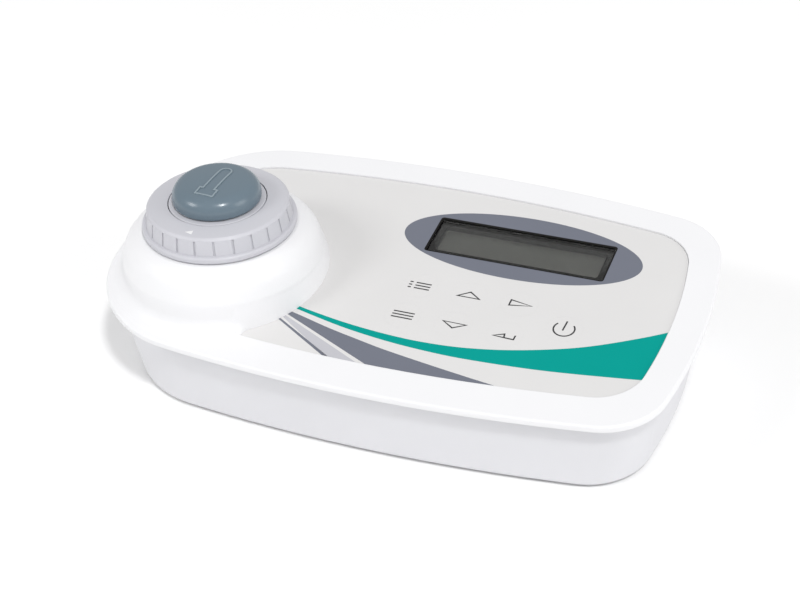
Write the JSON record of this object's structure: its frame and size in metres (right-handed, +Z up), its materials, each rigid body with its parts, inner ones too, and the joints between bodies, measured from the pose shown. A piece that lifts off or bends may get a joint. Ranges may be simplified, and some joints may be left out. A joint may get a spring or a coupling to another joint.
{
  "type": "chemical oxygen demand analyzer",
  "caption": "Bench colorimeter for chemical oxygen demand vials: sloped white housing, sunken display, membrane keys, lock ring round the sample well and a slate lid knob.",
  "frame": {"origin": "centre of the footprint, on the surface the rubber feet stand on", "axes": "+X to the right along the long side, +Y to the back, +Z up; the display faces up and leans 5 degrees towards the front"},
  "size_m": [0.222, 0.1288, 0.0747],
  "materials": {
    "white_shell": "fine textured white ABS",
    "panel_film": "light warm-grey printed membrane",
    "black_plastic": "black moulded plastic",
    "clear_window": "clear acrylic",
    "pressed_metal": "pressed dark sheet steel",
    "lcd_glass": "grey-green display glass",
    "clear_plastic": "milky light guide",
    "circuit_board": "green solder resist",
    "screw_steel": "zinc plated steel",
    "ring_grey": "light grey moulded plastic",
    "knob_slate": "slate blue-grey moulded plastic",
    "seal_rubber": "black rubber ring",
    "foot_rubber": "dark grey rubber",
    "well_black": "matt black light-tight plastic",
    "lamp_clear": "clear cast resin",
    "lens_glass": "polished optical glass",
    "cell_jacket": "plain shrink jacket with steel ends",
    "spring_steel": "nickel plated spring steel",
    "label_film": "bare silver-grey label film"
  },
  "bodies": {
    "body": {"upper_housing": "white_shell", "lower_housing": "white_shell", "battery_door": "white_shell", "panel_overlay": "panel_film", "display_surround": "black_plastic", "display_lens": "clear_window", "lcd_bezel": "pressed_metal", "lcd_glass": "lcd_glass", "lcd_backlight": "clear_plastic", "lcd_board": "circuit_board", "main_board": "circuit_board", "lamp_board": "circuit_board", "detector_board": "circuit_board", "key_switches": "black_plastic", "main_chip": "black_plastic", "board_screws": "screw_steel", "housing_screws": "screw_steel", "hub_screws": "screw_steel", "door_screw": "screw_steel", "ring_hub": "black_plastic", "rubber_feet": "foot_rubber", "sample_well": "well_black", "lamp_holder": "well_black", "detector_holder": "well_black", "lamp": "lamp_clear", "photodiode": "lamp_clear", "beam_lens": "lens_glass", "beam_filter": "lens_glass", "battery_cells": "cell_jacket", "battery_contacts": "spring_steel", "rating_label": "label_film"},
    "lock_ring": {"lock_ring": "ring_grey"},
    "lid": {"lid_disc": "ring_grey", "lid_knob": "knob_slate", "lid_screw": "screw_steel", "lid_seal": "seal_rubber"},
    "key_table": {"key_table": "panel_film"},
    "key_up": {"key_up": "panel_film"},
    "key_right": {"key_right": "panel_film"},
    "key_menu": {"key_menu": "panel_film"},
    "key_down": {"key_down": "panel_film"},
    "key_enter": {"key_enter": "panel_film"},
    "key_power": {"key_power": "panel_film"}
  },
  "joints": [
    {"name": "ring_turn", "type": "hinge", "parent": "body", "child": "lock_ring", "pos_m": [-0.0665, -0.014, 0.0559], "axis": [0, 0, 1], "range_deg": [0, 30]},
    {"name": "lid_lift", "type": "slide", "parent": "body", "child": "lid", "axis": [0, 0, 1], "range_m": [0, 0.125]},
    {"name": "table_press", "type": "slide", "parent": "body", "child": "key_table", "axis": [0, -0.0872, 0.9962], "range_m": [-0.00035, 0], "stiffness_N_per_m": 300},
    {"name": "up_press", "type": "slide", "parent": "body", "child": "key_up", "axis": [0, -0.0872, 0.9962], "range_m": [-0.00035, 0], "stiffness_N_per_m": 300},
    {"name": "right_press", "type": "slide", "parent": "body", "child": "key_right", "axis": [0, -0.0872, 0.9962], "range_m": [-0.00035, 0], "stiffness_N_per_m": 300},
    {"name": "menu_press", "type": "slide", "parent": "body", "child": "key_menu", "axis": [0, -0.0872, 0.9962], "range_m": [-0.00035, 0], "stiffness_N_per_m": 300},
    {"name": "down_press", "type": "slide", "parent": "body", "child": "key_down", "axis": [0, -0.0872, 0.9962], "range_m": [-0.00035, 0], "stiffness_N_per_m": 300},
    {"name": "enter_press", "type": "slide", "parent": "body", "child": "key_enter", "axis": [0, -0.0872, 0.9962], "range_m": [-0.00035, 0], "stiffness_N_per_m": 300},
    {"name": "power_press", "type": "slide", "parent": "body", "child": "key_power", "axis": [0, -0.0872, 0.9962], "range_m": [-0.00035, 0], "stiffness_N_per_m": 300}
  ]
}
